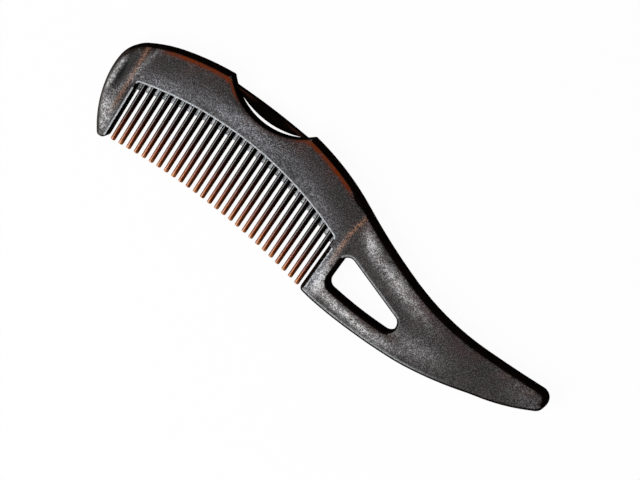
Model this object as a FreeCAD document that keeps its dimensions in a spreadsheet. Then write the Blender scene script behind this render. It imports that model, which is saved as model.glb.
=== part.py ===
import FreeCAD, Part
import Sketcher
import math
import os

# A grooming comb for catching fleas: a slim hollow handle with a finger hole,
# a curved head with a thumb notch, and 27 teeth set one by one.
# The comb lies on its flat back: +X runs from the nose to the handle's end,
# the teeth point to -Y, the spine is on the +Y side and the front faces +Z.

doc = FreeCAD.newDocument("flea_comb")
sheet = doc.addObject("Spreadsheet::Sheet", "Sizes")

SIZES = {
    # thickness, from the flat back upwards
    "back_thickness": 5.0,
    "front_thickness": 3.0,
    "front_edge_round": 1.0,
    "back_edge_round": 0.8,
    # nose and guard beside the first tooth
    "guard_low_x": -96.0,
    "guard_low_y": -19.7,
    "guard_outer_round": 1.6,
    "guard_side_x": -100.9,
    "guard_side_y": -10.9,
    "guard_side_round": 45.0,
    "nose_front_x": -104.3,
    "nose_front_y": 3.0,
    "nose_bulge_x": -104.0,
    "nose_bulge_y": 11.1,
    "nose_brow_x": -101.8,
    "nose_brow_y": 16.6,
    "nose_top_x": -98.1,
    "nose_top_y": 20.0,
    "guard_inner_x": -92.5,
    "guard_inner_round": 2.0,
    # spine of the head and its thumb notch
    "spine_mid_x": -84.3,
    "spine_mid_y": 25.6,
    "notch_centre_x": -42.0,
    "notch_low_y": 19.1,
    "notch_round": 27.0,
    "notch_left_x": -62.9,
    "notch_right_x": -23.9,
    "notch_corner_round": 0.9,
    "spine_rear_round": 110.0,
    # upper edge of the handle
    "neck_x": 8.1,
    "neck_y": 14.8,
    "waist_x": 38.9,
    "waist_y": 0.9,
    "handle_run_x": 74.2,
    "handle_run_y": -5.7,
    "handle_end_x": 104.4,
    "handle_end_top_y": -5.3,
    "handle_end_low_y": -12.7,
    "handle_end_round": 4.2,
    # lower edge of the handle with its three finger swells
    "end_taper": 4.4,
    "swell_a_start_y": -14.9,
    "swell_a_round": 80.0,
    "dip_a_start_x": 80.7,
    "dip_a_start_y": -21.8,
    "swell_b_start_x": 75.5,
    "swell_b_start_y": -23.1,
    "dip_b_start_x": 54.1,
    "dip_b_start_y": -27.5,
    "swell_c_start_x": 44.2,
    "swell_c_start_y": -28.3,
    "dip_c_start_x": 19.1,
    "dip_c_start_y": -27.8,
    "heel_swell_x": 9.2,
    "heel_swell_y": -26.8,
    "heel_low_x": 1.7,
    "heel_low_y": -25.4,
    "heel_round": 2.0,
    "heel_inner_x": 3.0,
    # seams between the front covers
    "nose_seam_x": -95.7,
    "handle_seam_x": 7.4,
    "handle_seam_slope": 0.055,
    "seam_reach": 60.0,
    # arch the teeth hang from, and the land below it
    "arch_centre_x": -55.3,
    "arch_top_y": 11.2,
    "arch_round": 145.2,
    "land_drop": 3.6,
    "land_height": 3.2,
    "lip_width": 2.0,
    # finger hole, a triangle with rounded corners
    "hole_left_low_x": 9.4,
    "hole_left_low_y": -18.2,
    "hole_left_top_x": 10.4,
    "hole_left_top_y": -3.1,
    "hole_right_x": 40.9,
    "hole_right_top_y": -14.5,
    "hole_right_low_y": -20.4,
    "hole_low_round": 160.0,
    "hole_left_round": 3.2,
    "hole_end_round": 3.4,
    "arch_corner_round": 0.9,
    # teeth
    "tooth_count": 27,
    "guard_gap": 2.5,
    "heel_gap": 2.338,
    "tooth_first_slope": 0.007,
    "tooth_slope_step": 0.0016,
    "tooth_root_width": 2.0,
    "tooth_tip_width": 1.5,
    "tooth_back": 1.0,
    "tooth_tip_back": 2.1,
    "tooth_tip_front": 4.0,
    "tooth_edge_round": 0.35,
    "tip_line_x": -64.0,
    "tip_line_y": -17.8,
    "tip_line_round": 275.0,
    "foot_width": 2.7,
    "foot_length": 2.8,
    "foot_height": 2.4,
    "foot_gap": 0.8,
    "slot_clearance": 0.05,
    # channel and clamp bar over the feet
    "channel_width": 4.2,
    "channel_left_wall": 0.7,
    "channel_right_wall": 0.2,
    "bar_clearance": 0.15,
    "bar_inset": 1.5,
    # thumb rest across the notch
    "rest_back": 1.6,
    "rest_left_inset": 4.3,
    "rest_left_lift": 0.6,
    "rest_left_end": 1.1,
    "rest_right_inset": 3.7,
    "rest_right_lift": 0.35,
    "rest_right_end": 0.9,
    "rest_slot_width": 1.8,
    "rest_top_round": 245.0,
    "rest_left_neck": 1.2,
    "rest_right_neck": 0.8,
    "rest_left_tab_reach": 3.1,
    "rest_right_tab_reach": 3.2,
    "rest_left_tab_drop": 2.6,
    "rest_right_tab_drop": 3.0,
    "rest_tab_height": 3.0,
    "rest_clearance": 0.1,
    "socket_overrun": 1.0,
    # hollow in the handle
    "hollow_wall": 6.6,
    "hollow_left_low_y": -22.6,
    "hollow_left_top_y": -6.2,
    "hollow_right_x": 93.0,
    "hollow_right_low_y": -13.6,
    "hollow_right_top_y": -9.2,
    "hollow_low_round": 95.0,
    "hollow_top_round": 190.0,
    "hollow_floor": 1.6,
    # locating pins under the covers
    "pin_radius": 1.2,
    "pin_length": 2.4,
    "pin_gap": 0.3,
    "pin_end_gap": 0.2,
}

for row, (alias, number) in enumerate(SIZES.items(), start=1):
    sheet.set("A%d" % row, alias)
    sheet.set("B%d" % row, str(number))
    sheet.setAlias("B%d" % row, alias)
doc.recompute()


class Size:
    """A length that carries both its expression for the sheet and its value."""

    def __init__(self, text, value):
        self.text = text
        self.value = value

    def __add__(self, other):
        other = size(other)
        return Size("(%s + %s)" % (self.text, other.text), self.value + other.value)

    def __sub__(self, other):
        other = size(other)
        return Size("(%s - %s)" % (self.text, other.text), self.value - other.value)

    def __mul__(self, other):
        other = size(other)
        return Size("(%s * %s)" % (self.text, other.text), self.value * other.value)

    def __truediv__(self, other):
        other = size(other)
        return Size("(%s / %s)" % (self.text, other.text), self.value / other.value)

    def root(self):
        return Size("sqrt(%s)" % self.text, math.sqrt(self.value))


def size(item):
    """The sheet's value of that name, or a bare number."""
    if isinstance(item, Size):
        return item
    if isinstance(item, str):
        return Size("Sizes.%s" % item, float(sheet.get(item)))
    return Size(repr(item), item)


def on_circle(centre_x, centre_y, radius, x, side):
    """Height of a circle above (side 1) or below (side -1) its centre at x."""
    across = size(x) - centre_x
    reach = (size(radius) * radius - across * across).root()
    return size(centre_y) + reach * side


def new_body(label):
    body = doc.addObject("PartDesign::Body", label)
    body.Label = label
    return body


def plane(body, role):
    for feature in body.Origin.OriginFeatures:
        if feature.Role == role:
            return feature


def new_sketch(body, name, role="XY_Plane", height=None):
    sketch = body.newObject("Sketcher::SketchObject", name)
    sketch.AttachmentSupport = [(plane(body, role), "")]
    sketch.MapMode = "FlatFace"
    if height is not None:
        sketch.setExpression("AttachmentOffset.Base.z", size(height).text)
    return sketch


SMOOTH = "smooth"


def draw_loop(sketch, corners):
    """Closed outline through corners (x, y, bend to the next corner).

    A bend is None for a straight edge, SMOOTH for an arc that leaves the edge
    before it without a kink, or (radius, turn) for an arc that swings to the
    left (turn 1) or to the right (turn -1).
    """
    points = [(size(x), size(y)) for x, y, bend in corners]
    first = sketch.GeometryCount
    shapes = []
    flips = []
    heading = 0.0
    for index, (x, y, bend) in enumerate(corners):
        here = points[index]
        there = points[(index + 1) % len(points)]
        start = FreeCAD.Vector(here[0].value, here[1].value, 0)
        end = FreeCAD.Vector(there[0].value, there[1].value, 0)
        chord = end - start
        chord_angle = math.atan2(chord.y, chord.x)
        if bend is None:
            shapes.append(Part.LineSegment(start, end))
            flips.append(False)
            heading = chord_angle
            continue
        if bend == SMOOTH:
            half_turn = math.remainder(chord_angle - heading, 2 * math.pi)
            radius = chord.Length / (2 * math.sin(abs(half_turn)))
        else:
            radius = size(bend[0]).value
            half_turn = math.asin(chord.Length / (2 * radius)) * bend[1]
        heading = chord_angle + half_turn
        left = FreeCAD.Vector(-chord.y, chord.x, 0).normalize()
        rise = radius * math.cos(half_turn) * math.copysign(1, half_turn)
        centre = (start + end) * 0.5 + left * rise
        low, high = (start, end) if half_turn > 0 else (end, start)
        low_angle = math.atan2(low.y - centre.y, low.x - centre.x)
        high_angle = math.atan2(high.y - centre.y, high.x - centre.x)
        circle = Part.Circle(centre, FreeCAD.Vector(0, 0, 1), radius)
        shapes.append(Part.ArcOfCircle(circle, low_angle, high_angle))
        flips.append(half_turn < 0)
    sketch.addGeometry(shapes, False)
    rules = []
    texts = []
    for index, (x, y) in enumerate(points):
        bend = corners[index][2]
        geometry = first + index
        start_end = 2 if flips[index] else 1
        before = (index - 1) % len(points)
        before_end = 1 if flips[before] else 2
        kind = "Tangent" if bend == SMOOTH else "Coincident"
        rules.append(Sketcher.Constraint(kind, first + before, before_end,
                                         geometry, start_end))
        texts.append(None)
        rules.append(Sketcher.Constraint("DistanceX", -1, 1, geometry, start_end, x.value))
        texts.append(x.text)
        rules.append(Sketcher.Constraint("DistanceY", -1, 1, geometry, start_end, y.value))
        texts.append(y.text)
        if bend is not None and bend != SMOOTH:
            rules.append(Sketcher.Constraint("Radius", geometry, size(bend[0]).value))
            texts.append(size(bend[0]).text)
    base = sketch.ConstraintCount
    sketch.addConstraint(rules)
    for index, text in enumerate(texts):
        if text is not None:
            sketch.setExpression("Constraints[%d]" % (base + index), text)


def draw_circle(sketch, x, y, radius):
    x, y, radius = size(x), size(y), size(radius)
    circle = Part.Circle(FreeCAD.Vector(x.value, y.value, 0),
                         FreeCAD.Vector(0, 0, 1), radius.value)
    geometry = sketch.addGeometry(circle, False)
    base = sketch.ConstraintCount
    sketch.addConstraint([
        Sketcher.Constraint("DistanceX", -1, 1, geometry, 3, x.value),
        Sketcher.Constraint("DistanceY", -1, 1, geometry, 3, y.value),
        Sketcher.Constraint("Radius", geometry, radius.value)])
    for index, item in enumerate((x, y, radius)):
        sketch.setExpression("Constraints[%d]" % (base + index), item.text)


def pad(body, sketch, name, length, downwards=False):
    feature = body.newObject("PartDesign::Pad", name)
    feature.Profile = sketch
    feature.Reversed = downwards
    feature.setExpression("Length", size(length).text)
    body.Tip = feature
    doc.recompute()
    return feature


def pocket(body, sketch, name, depth, upwards=False):
    """Cut down from the sketch (or up), and insist that something was removed."""
    before = body.Shape.Volume
    feature = body.newObject("PartDesign::Pocket", name)
    feature.Profile = sketch
    feature.Reversed = upwards
    feature.setExpression("Length", size(depth).text)
    body.Tip = feature
    doc.recompute()
    if body.Shape.Volume > before - 0.01:
        raise RuntimeError("%s cuts nothing" % name)
    return feature


def fillet(body, name, radius, wanted):
    """Round the edges of the body that the test picks."""
    base = body.Tip
    edges = ["Edge%d" % (index + 1) for index, edge in enumerate(base.Shape.Edges)
             if wanted(edge)]
    feature = body.newObject("PartDesign::Fillet", name)
    feature.Base = (base, edges)
    feature.setExpression("Radius", size(radius).text)
    body.Tip = feature
    doc.recompute()
    return feature


def level(edge, height):
    box = edge.BoundBox
    return abs(box.ZMin - height) < 1e-4 and abs(box.ZMax - height) < 1e-4


# ---------------------------------------------------------------- outlines
top = size("back_thickness") + "front_thickness"
notch_centre_y = size("notch_low_y") + "notch_round"
notch_left_y = on_circle("notch_centre_x", notch_centre_y, "notch_round",
                         "notch_left_x", -1)
notch_right_y = on_circle("notch_centre_x", notch_centre_y, "notch_round",
                          "notch_right_x", -1)
swell_a_start_x = size("handle_end_x") - "end_taper"
arch_centre_y = size("arch_top_y") - "arch_round"
channel_left_x = size("guard_inner_x") + "channel_left_wall"
channel_right_x = size("heel_inner_x") + "channel_right_wall"


def arch_y(x, offset):
    """Height of the arch line at x, moved outwards by offset."""
    return on_circle("arch_centre_x", arch_centre_y,
                     size("arch_round") + offset, x, 1)


def outline(offset):
    """The comb's outline with the arch moved outwards by offset."""
    arch = size("arch_round") + offset
    return [
        ("guard_inner_x", arch_y("guard_inner_x", offset), None),
        ("guard_inner_x", "guard_low_y", None),
        ("guard_low_x", "guard_low_y", ("guard_side_round", -1)),
        ("guard_side_x", "guard_side_y", SMOOTH),
        ("nose_front_x", "nose_front_y", SMOOTH),
        ("nose_bulge_x", "nose_bulge_y", SMOOTH),
        ("nose_brow_x", "nose_brow_y", SMOOTH),
        ("nose_top_x", "nose_top_y", SMOOTH),
        ("spine_mid_x", "spine_mid_y", SMOOTH),
        ("notch_left_x", notch_left_y, ("notch_round", 1)),
        ("notch_right_x", notch_right_y, ("spine_rear_round", -1)),
        ("neck_x", "neck_y", SMOOTH),
        ("waist_x", "waist_y", SMOOTH),
        ("handle_run_x", "handle_run_y", SMOOTH),
        ("handle_end_x", "handle_end_top_y", None),
        ("handle_end_x", "handle_end_low_y", None),
        (swell_a_start_x, "swell_a_start_y", ("swell_a_round", -1)),
        ("dip_a_start_x", "dip_a_start_y", SMOOTH),
        ("swell_b_start_x", "swell_b_start_y", SMOOTH),
        ("dip_b_start_x", "dip_b_start_y", SMOOTH),
        ("swell_c_start_x", "swell_c_start_y", SMOOTH),
        ("dip_c_start_x", "dip_c_start_y", SMOOTH),
        ("heel_swell_x", "heel_swell_y", SMOOTH),
        ("heel_low_x", "heel_low_y", None),
        ("heel_inner_x", arch_y("heel_inner_x", offset), (arch, 1)),
    ]


HOLE = [
    ("hole_left_low_x", "hole_left_low_y", ("hole_low_round", 1)),
    ("hole_right_x", "hole_right_low_y", None),
    ("hole_right_x", "hole_right_top_y", None),
    ("hole_left_top_x", "hole_left_top_y", None),
]

# upright corners and the radius that rounds each of them
CORNERS = [
    ("guard_inner_x", "guard_low_y", "guard_inner_round"),
    ("guard_low_x", "guard_low_y", "guard_outer_round"),
    ("notch_left_x", notch_left_y, "notch_corner_round"),
    ("notch_right_x", notch_right_y, "notch_corner_round"),
    ("handle_end_x", "handle_end_top_y", "handle_end_round"),
    ("handle_end_x", "handle_end_low_y", "handle_end_round"),
    ("heel_low_x", "heel_low_y", "heel_round"),
    ("hole_left_low_x", "hole_left_low_y", "hole_left_round"),
    ("hole_left_top_x", "hole_left_top_y", "hole_left_round"),
    ("hole_right_x", "hole_right_low_y", "hole_end_round"),
    ("hole_right_x", "hole_right_top_y", "hole_end_round"),
]


def arch_corners(offset):
    return [
        ("guard_inner_x", arch_y("guard_inner_x", offset), "arch_corner_round"),
        ("heel_inner_x", arch_y("heel_inner_x", offset), "arch_corner_round"),
    ]


def round_corners(body, corners):
    """Round the upright corners, one fillet for each radius."""
    for name in sorted(set(radius for x, y, radius in corners)):
        spots = [(size(x).value, size(y).value) for x, y, radius in corners
                 if radius == name]

        def upright(edge):
            box = edge.BoundBox
            if box.ZMax - box.ZMin < 1.0 or box.XMax - box.XMin > 0.01:
                return False
            return any(math.hypot(box.XMin - x, box.YMin - y) < 0.01 for x, y in spots)

        fillet(body, body.Label + "_" + name, name, upright)


PINS = {
    "nose_cover": [(-99.6, 11.0), (-99.0, -3.0)],
    "head_cover": [(-80.0, 20.6), (-9.5, 16.2), (5.0, -18.0)],
    "handle_cover": [(16.0, 4.4), (44.0, -13.0), (98.4, -10.2)],
}
for cover, spots in PINS.items():
    for number, (x, y) in enumerate(spots, start=1):
        for letter, value in (("x", x), ("y", y)):
            row += 1
            alias = "%s_pin_%d_%s" % (cover, number, letter)
            sheet.set("A%d" % row, alias)
            sheet.set("B%d" % row, str(value))
            sheet.setAlias("B%d" % row, alias)
doc.recompute()


def pin_spots(cover):
    return [("%s_pin_%d_x" % (cover, number), "%s_pin_%d_y" % (cover, number))
            for number in range(1, len(PINS[cover]) + 1)]


TEETH = int(size("tooth_count").value)
first_tooth_x = size("guard_inner_x") + "guard_gap"
last_tooth_x = size("heel_inner_x") - "heel_gap"
tooth_pitch = (last_tooth_x - first_tooth_x) / (size("tooth_count") - 1)


def tooth_frame(index):
    """Place of a tooth's root on the arch and its slope across X per Y."""
    x = first_tooth_x + tooth_pitch * index
    slope = size("tooth_first_slope") + size("tooth_slope_step") * index
    y = arch_y(x, 0)
    return x, y, slope


# ---------------------------------------------------------------- rear shell
shell = new_body("rear_shell")
sketch = new_sketch(shell, "shell_outline")
land_offset = size("land_drop") * -1
draw_loop(sketch, outline(land_offset))
draw_loop(sketch, HOLE)
pad(shell, sketch, "shell_plate", "back_thickness")
round_corners(shell, CORNERS + arch_corners(land_offset))
fillet(shell, "back_edges", "back_edge_round", lambda edge: level(edge, 0.0))

# the land below the arch is lower than the rest, so that the teeth show
sketch = new_sketch(shell, "land_outline", height="back_thickness")
draw_loop(sketch, [
    ("heel_inner_x", arch_y("heel_inner_x", 0), (size("arch_round"), 1)),
    ("guard_inner_x", arch_y("guard_inner_x", 0), None),
    ("guard_inner_x", arch_y("guard_inner_x", size("land_drop") * -2), None),
    ("heel_inner_x", arch_y("heel_inner_x", size("land_drop") * -2), None),
])
pocket(shell, sketch, "land", size("back_thickness") - "land_height")

# channel for the feet of the teeth, behind the lip
sketch = new_sketch(shell, "channel_outline", height="back_thickness")
inner = size("lip_width")
outer = size("lip_width") + "channel_width"
draw_loop(sketch, [
    (channel_left_x, arch_y(channel_left_x, inner), None),
    (channel_left_x, arch_y(channel_left_x, outer),
     (size("arch_round") + outer, -1)),
    (channel_right_x, arch_y(channel_right_x, outer), None),
    (channel_right_x, arch_y(channel_right_x, inner),
     (size("arch_round") + inner, 1)),
])
pocket(shell, sketch, "channel", size("back_thickness") - "tooth_back")

# one slot through lip and land for each tooth
sketch = new_sketch(shell, "slot_outlines", height="back_thickness")
half = size("tooth_root_width") * 0.5 + "slot_clearance"
reach_in = size("lip_width") + size("channel_width") * 0.5
reach_out = size("land_drop") * -2
for index in range(TEETH):
    x, y, slope = tooth_frame(index)
    draw_loop(sketch, [
        (x - half + slope * reach_out, y + reach_out, None),
        (x + half + slope * reach_out, y + reach_out, None),
        (x + half + slope * reach_in, y + reach_in, None),
        (x - half + slope * reach_in, y + reach_in, None),
    ])
pocket(shell, sketch, "slots", size("back_thickness") - "tooth_back")

# places of the thumb rest, taken from the curve of the notch
rest_left_x = size("notch_left_x") + "rest_left_inset"
rest_left_low_y = on_circle("notch_centre_x", notch_centre_y, "notch_round",
                            rest_left_x, -1) + "rest_left_lift"
rest_left_top_y = rest_left_low_y + "rest_left_end"
rest_right_x = size("notch_right_x") - "rest_right_inset"
rest_right_low_y = on_circle("notch_centre_x", notch_centre_y, "notch_round",
                             rest_right_x, -1) + "rest_right_lift"
rest_right_top_y = rest_right_low_y + "rest_right_end"
rest_half_x = (rest_right_x - rest_left_x) * 0.5
rest_half_y = (rest_left_low_y - rest_right_low_y) * 0.5
rest_half_chord = (rest_half_x * rest_half_x + rest_half_y * rest_half_y).root()
rest_bow = (rest_left_low_y + rest_right_low_y) * 0.5 - "notch_low_y" - "rest_slot_width"
rest_low_round = (rest_half_chord * rest_half_chord / rest_bow + rest_bow) * 0.5
left_tab_x = size("notch_left_x") - "rest_left_tab_reach"
left_tab_low_y = rest_left_low_y - "rest_left_tab_drop"
left_tab_top_y = left_tab_low_y + "rest_tab_height"
right_tab_x = size("notch_right_x") + "rest_right_tab_reach"
right_tab_low_y = rest_right_low_y - "rest_right_tab_drop"
right_tab_top_y = right_tab_low_y + "rest_tab_height"

# sockets for the two tabs of the thumb rest
sketch = new_sketch(shell, "rest_socket_outlines", height="back_thickness")
gap = size("rest_clearance")
left_mouth_x = rest_left_x + "socket_overrun"
right_mouth_x = rest_right_x - "socket_overrun"
draw_loop(sketch, [
    (left_tab_x - gap, left_tab_low_y - gap, None),
    (left_mouth_x, left_tab_low_y - gap, None),
    (left_mouth_x, left_tab_top_y + gap, None),
    (left_tab_x - gap, left_tab_top_y + gap, None),
])
draw_loop(sketch, [
    (right_mouth_x, right_tab_low_y - gap, None),
    (right_tab_x + gap, right_tab_low_y - gap, None),
    (right_tab_x + gap, right_tab_top_y + gap, None),
    (right_mouth_x, right_tab_top_y + gap, None),
])
pocket(shell, sketch, "rest_sockets", size("back_thickness") - "rest_back")

# hollow inside the handle
hollow_left_x = size("hole_right_x") + "hollow_wall"
sketch = new_sketch(shell, "hollow_outline", height="back_thickness")
draw_loop(sketch, [
    (hollow_left_x, "hollow_left_low_y", ("hollow_low_round", 1)),
    ("hollow_right_x", "hollow_right_low_y", None),
    ("hollow_right_x", "hollow_right_top_y", ("hollow_top_round", -1)),
    (hollow_left_x, "hollow_left_top_y", None),
])
pocket(shell, sketch, "hollow", size("back_thickness") - "hollow_floor")

# holes that take the pins of the covers
sketch = new_sketch(shell, "pin_hole_outlines", height="back_thickness")
for cover in PINS:
    for x, y in pin_spots(cover):
        draw_circle(sketch, x, y, size("pin_radius") + "pin_gap")
pocket(shell, sketch, "pin_holes", size("pin_length") + "pin_end_gap")


# ---------------------------------------------------------------- covers
def add_pins(body, cover):
    sketch = new_sketch(body, cover + "_pin_outlines", height="back_thickness")
    for x, y in pin_spots(cover):
        draw_circle(sketch, x, y, "pin_radius")
    pad(body, sketch, cover + "_pins", "pin_length", downwards=True)


def new_cover(label, cut_left, cut_right):
    """A front cover: the whole front plate, cut back to its own stretch."""
    body = new_body(label)
    sketch = new_sketch(body, label + "_outline", height="back_thickness")
    draw_loop(sketch, outline(size(0.0)))
    draw_loop(sketch, HOLE)
    pad(body, sketch, label + "_plate", "front_thickness")
    round_corners(body, CORNERS + arch_corners(size(0.0)))
    fillet(body, label + "_edge", "front_edge_round",
           lambda edge: level(edge, top.value))
    for name, lines in (("left", cut_left), ("right", cut_right)):
        if lines is None:
            continue
        sketch = new_sketch(body, label + "_" + name + "_cut", height=top)
        draw_loop(sketch, [(x, y, None) for x, y in lines])
        pocket(body, sketch, label + "_" + name, "front_thickness")
    add_pins(body, label)
    return body


reach = size("seam_reach")
far = size("nose_seam_x") * 2
lean = size("handle_seam_slope") * reach
LEFT_OF_NOSE = [(far, reach * -1), ("nose_seam_x", reach * -1),
                ("nose_seam_x", reach), (far, reach)]
RIGHT_OF_NOSE = [("nose_seam_x", reach * -1), (far * -1, reach * -1),
                 (far * -1, reach), ("nose_seam_x", reach)]
LEFT_OF_HANDLE = [(far, reach * -1), (size("handle_seam_x") - lean, reach * -1),
                  (size("handle_seam_x") + lean, reach), (far, reach)]
RIGHT_OF_HANDLE = [(size("handle_seam_x") - lean, reach * -1), (far * -1, reach * -1),
                   (far * -1, reach), (size("handle_seam_x") + lean, reach)]
new_cover("nose_cover", None, RIGHT_OF_NOSE)
new_cover("head_cover", LEFT_OF_NOSE, RIGHT_OF_HANDLE)
new_cover("handle_cover", LEFT_OF_HANDLE, None)

# ---------------------------------------------------------------- clamp bar
bar = new_body("tooth_clamp_bar")
foot_top = size("tooth_back") + "foot_height"
sketch = new_sketch(bar, "bar_outline", height=foot_top)
slack = size("bar_clearance")
low = size("lip_width") + "bar_inset"
high = size("lip_width") + "channel_width" - slack
bar_left = channel_left_x + slack
bar_right = channel_right_x - slack
draw_loop(sketch, [
    (bar_left, arch_y(bar_left, low), None),
    (bar_left, arch_y(bar_left, high), (size("arch_round") + high, -1)),
    (bar_right, arch_y(bar_right, high), None),
    (bar_right, arch_y(bar_right, low), (size("arch_round") + low, 1)),
])
pad(bar, sketch, "bar_strip", size("back_thickness") - foot_top)

# ---------------------------------------------------------------- thumb rest
rest = new_body("thumb_rest")
sketch = new_sketch(rest, "rest_outline", height="rest_back")
left_neck_x = rest_left_x - "rest_left_neck"
right_neck_x = rest_right_x + "rest_right_neck"
draw_loop(sketch, [
    (left_tab_x, left_tab_low_y, None),
    (left_neck_x, left_tab_low_y, None),
    (rest_left_x, rest_left_low_y, (rest_low_round, 1)),
    (rest_right_x, rest_right_low_y, None),
    (right_neck_x, right_tab_low_y, None),
    (right_tab_x, right_tab_low_y, None),
    (right_tab_x, right_tab_top_y, None),
    (right_neck_x, right_tab_top_y, None),
    (rest_right_x, rest_right_top_y, ("rest_top_round", 1)),
    (rest_left_x, rest_left_top_y, None),
    (left_neck_x, left_tab_top_y, None),
    (left_tab_x, left_tab_top_y, None),
])
pad(rest, sketch, "rest_plate", size("back_thickness") - "rest_back")


# ---------------------------------------------------------------- teeth
def draw_section(sketch, width, back, front):
    half = size(width) * 0.5
    draw_loop(sketch, [
        (half * -1, back, None),
        (half, back, None),
        (half, front, None),
        (half * -1, front, None),
    ])


for index in range(TEETH):
    label = "tooth_%02d" % (index + 1)
    tooth = new_body(label)
    x, y, slope = tooth_frame(index)
    across = x - "tip_line_x"
    drop = size("tip_line_round") - (size("tip_line_round") * "tip_line_round"
                                     - across * across).root()
    length = y - size("tip_line_y") + drop

    # straight part under the cover, with the foot at its end
    sketch = new_sketch(tooth, label + "_stem_outline", height="tooth_back")
    half = size("tooth_root_width") * 0.5
    wide = size("foot_width") * 0.5
    reach = size("lip_width") + "foot_gap"
    draw_loop(sketch, [
        (half * -1, 0, None),
        (half, 0, None),
        (half, reach, None),
        (half * -1, reach, None),
    ])
    pad(tooth, sketch, label + "_stem", size("back_thickness") - "tooth_back")
    sketch = new_sketch(tooth, label + "_foot_outline", height="tooth_back")
    draw_loop(sketch, [
        (wide * -1, reach, None),
        (wide, reach, None),
        (wide, reach + "foot_length", None),
        (wide * -1, reach + "foot_length", None),
    ])
    pad(tooth, sketch, label + "_foot", "foot_height")

    # tapering shank from the arch to the blunt tip
    root = new_sketch(tooth, label + "_root_section", role="XZ_Plane")
    draw_section(root, "tooth_root_width", "tooth_back", "back_thickness")
    tip = new_sketch(tooth, label + "_tip_section", role="XZ_Plane", height=length)
    draw_section(tip, "tooth_tip_width", "tooth_tip_back", "tooth_tip_front")
    shank = tooth.newObject("PartDesign::AdditiveLoft", label + "_shank")
    shank.Profile = root
    shank.Sections = [tip]
    tooth.Tip = shank
    doc.recompute()
    fillet(tooth, label + "_edges", "tooth_edge_round",
           lambda edge: edge.BoundBox.YMax < 1e-4 and edge.BoundBox.YMin < -1.0)
    tooth.Placement = FreeCAD.Placement(
        FreeCAD.Vector(x.value, y.value, 0),
        FreeCAD.Rotation(FreeCAD.Vector(0, 0, 1), -math.degrees(math.atan(slope.value))))

doc.recompute()
os.makedirs("parts", exist_ok=True)
for item in doc.Objects:
    if "Invalid" in item.State or "Error" in item.State:
        raise RuntimeError("%s: %s" % (item.Name, item.State))
for body in doc.findObjects("PartDesign::Body"):
    if body.Shape.isNull() or not body.Shape.isValid():
        raise RuntimeError("%s has no valid shape" % body.Label)
    body.Shape.exportStep("parts/%s.step" % body.Label)
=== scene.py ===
"""Looks of a hand-held flea comb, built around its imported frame.

The comb lies on its flat back: +X runs from the nose to the end of the handle,
the teeth point to -Y, the spine is on the +Y side and the front faces +Z.
Shapes are worked out in millimetres and written into the meshes in metres.
"""

import math
from functools import cached_property

import bpy
import numpy as np
from mathutils import Matrix, Vector
from mathutils.geometry import delaunay_2d_cdt


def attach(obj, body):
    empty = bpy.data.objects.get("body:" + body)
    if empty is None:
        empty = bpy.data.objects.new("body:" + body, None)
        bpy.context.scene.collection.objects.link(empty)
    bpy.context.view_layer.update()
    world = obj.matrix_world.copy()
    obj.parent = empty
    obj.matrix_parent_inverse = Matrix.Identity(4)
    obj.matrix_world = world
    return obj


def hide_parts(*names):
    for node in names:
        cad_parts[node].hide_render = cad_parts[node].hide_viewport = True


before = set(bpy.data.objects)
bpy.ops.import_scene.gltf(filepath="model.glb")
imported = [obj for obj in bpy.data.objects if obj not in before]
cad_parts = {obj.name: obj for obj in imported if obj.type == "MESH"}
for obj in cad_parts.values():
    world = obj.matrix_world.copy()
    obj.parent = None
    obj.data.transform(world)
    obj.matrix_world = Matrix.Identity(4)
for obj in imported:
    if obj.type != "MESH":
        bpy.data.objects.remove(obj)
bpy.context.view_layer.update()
MM = 0.001

# levels over the comb's back
BACK_TOP = 5.0                  # where the rear shell ends and the covers begin
LAND_TOP = 3.2                  # the land between the roots of the teeth
ROUND_START = 7.0               # the covers' walls are upright below this
FRONT_LEVEL = 7.8               # the front, away from its edges and its relief
FRONT_TOP = 8.0
CROWN_REACH, CROWN_FALL = 9.0, 0.55     # how far in and how much the front falls to its edges

# the comb's main lines, seen from the front
NOSE_SEAM_X = -95.7
HANDLE_SEAM_X, HANDLE_SEAM_SLOPE = 7.4, 0.055
ARCH_X, ARCH_Y, ARCH_R = -55.3, -134.0, 145.2
OPENING_LEFT, OPENING_RIGHT = -92.6, 3.2        # the teeth stand between these
GUARD_X = -92.5                 # the nose guard's wall beside the first tooth
NOTCH_X, NOTCH_Y, NOTCH_R = -42.0, 46.1, 27.0
HOLE_LEFT, HOLE_RIGHT = 8.5, 41.5               # a box round the finger hole
HOLE_LOW, HOLE_HIGH = -21.6, -2.4
BLUNT_END_X = 99.0              # the handle's rounded end begins here

# the row of teeth
TEETH = 27
FIRST_TOOTH_X, TOOTH_PITCH = -90.0, 3.487
FIRST_SLOPE, SLOPE_STEP = 0.007, 0.0016
TIP_X, TIP_Y, TIP_R = -64.0, -17.8, 275.0
TOOTH_WIDTH = (2.25, 1.85)      # at the root and at the tip, as the next two
TOOTH_HALF_DEPTH = (2.0, 0.95)
TOOTH_MIDDLE = (3.0, 3.05)
ROOT_UNDER_COVER = 2.6
BLUNT_TIP = 0.5                 # length of the tip's rounding
LIT_STRIP = 0.90                # the polished strip's faces look at least this much to the front

# the thumb rest
REST_LEFT, REST_RIGHT = (-58.6, 25.41), (-27.6, 23.61)
REST_RISE_LEFT, REST_RISE_RIGHT = 1.1, 0.9      # how tall its ends are
REST_TAB_LEFT, REST_TAB_RIGHT = 2.4, 2.1        # how far its ends run into the notch's walls
REST_LOW, REST_TOP_BOW = 20.9, 0.49
REST_BACK, REST_FRONT = 1.6, 5.0
REST_THINNEST = 0.6

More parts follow.
